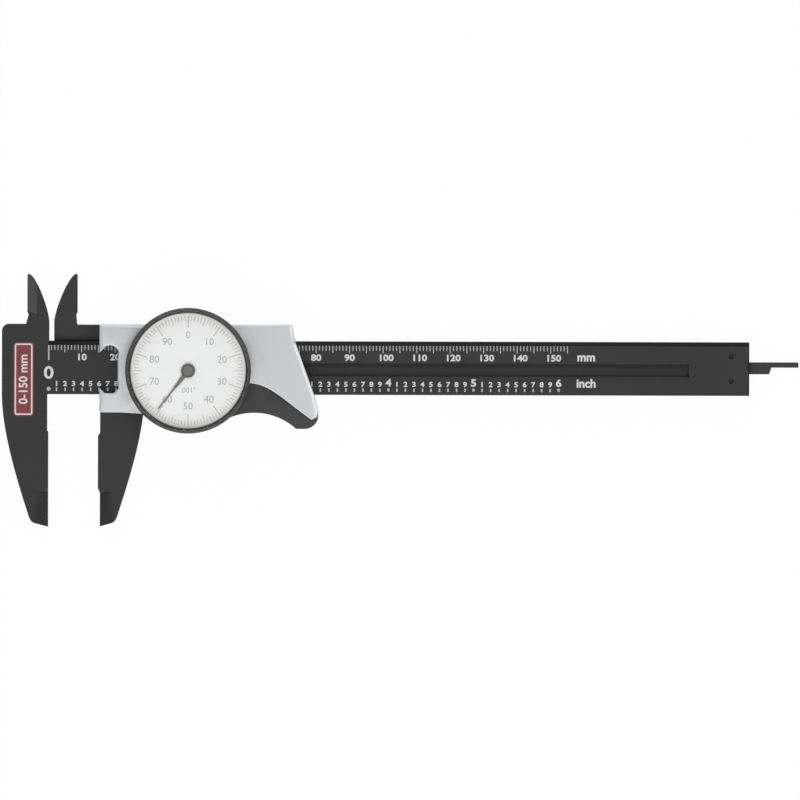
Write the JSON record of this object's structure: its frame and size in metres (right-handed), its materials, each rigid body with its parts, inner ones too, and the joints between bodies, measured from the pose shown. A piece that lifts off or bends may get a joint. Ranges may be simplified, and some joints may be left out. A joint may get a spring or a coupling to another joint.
{
  "type": "dial caliper",
  "caption": "Dial caliper with a black moulded beam and jaws, a silver slider cover, a rack-driven pointer under a round bezel, a thumb hook and a depth rod.",
  "frame": {"origin": "where the plane of the fixed jaw's measuring face, the beam's centre line and the table under the back meet", "axes": "+X along the beam from the fixed jaw to the depth rod, +Y across the beam to the inside jaws, +Z from the back to the dial"},
  "size_m": [0.2378, 0.0756, 0.016],
  "materials": {
    "black_polymer": "fine moulded grain",
    "silver_cover": "silver lacquer",
    "bezel_black": "satin",
    "dial_white": "matt white with dark print",
    "crystal_clear": "clear",
    "pointer_dark": "matt",
    "rod_dark": "blackened steel",
    "brass": "machined",
    "steel": "machined"
  },
  "bodies": {
    "beam_unit": {"beam": "black_polymer", "gear_rack": "steel", "end_stop": "black_polymer", "end_stop_pins": "rod_dark"},
    "slider_unit": {"slider_body": "black_polymer", "back_plate": "black_polymer", "case_screws": "steel", "slider_cover": "silver_cover", "gib_spring": "steel", "depth_rod": "rod_dark", "depth_rod_pin": "steel", "movement_bridge": "brass", "bridge_screws": "steel", "pinion_bush": "brass", "centre_bush": "brass", "bridge_bushes": "brass", "bezel_spring": "steel"},
    "pinion_unit": {"pinion_arbor": "steel", "drive_gear": "brass", "takeup_gear": "brass", "takeup_spring": "steel"},
    "pointer_unit": {"centre_arbor": "steel", "pointer": "pointer_dark", "pointer_hub": "pointer_dark"},
    "bezel_unit": {"bezel": "bezel_black", "dial_face": "dial_white", "crystal": "crystal_clear"}
  },
  "joints": [
    {"name": "jaw_slide", "type": "slide", "parent": "beam_unit", "child": "slider_unit", "axis": [1, 0, 0], "range_m": [-0.01493, 0.14006]},
    {"name": "pinion_spin", "type": "hinge", "parent": "slider_unit", "child": "pinion_unit", "pos_m": [0.04834, -0.00046, 0.008], "axis": [0, 0, 1], "continuous": true},
    {"name": "pointer_spin", "type": "hinge", "parent": "slider_unit", "child": "pointer_unit", "pos_m": [0.04189, -0.00092, 0.0133], "axis": [0, 0, 1], "continuous": true},
    {"name": "bezel_turn", "type": "hinge", "parent": "slider_unit", "child": "bezel_unit", "pos_m": [0.04189, -0.00092, 0.0133], "axis": [0, 0, 1], "continuous": true}
  ],
  "couplings": [
    {"joint": "pinion_spin", "follows": "jaw_slide", "rad_per_m": 824.57},
    {"joint": "pointer_spin", "follows": "jaw_slide", "rad_per_m": -2473.7}
  ]
}
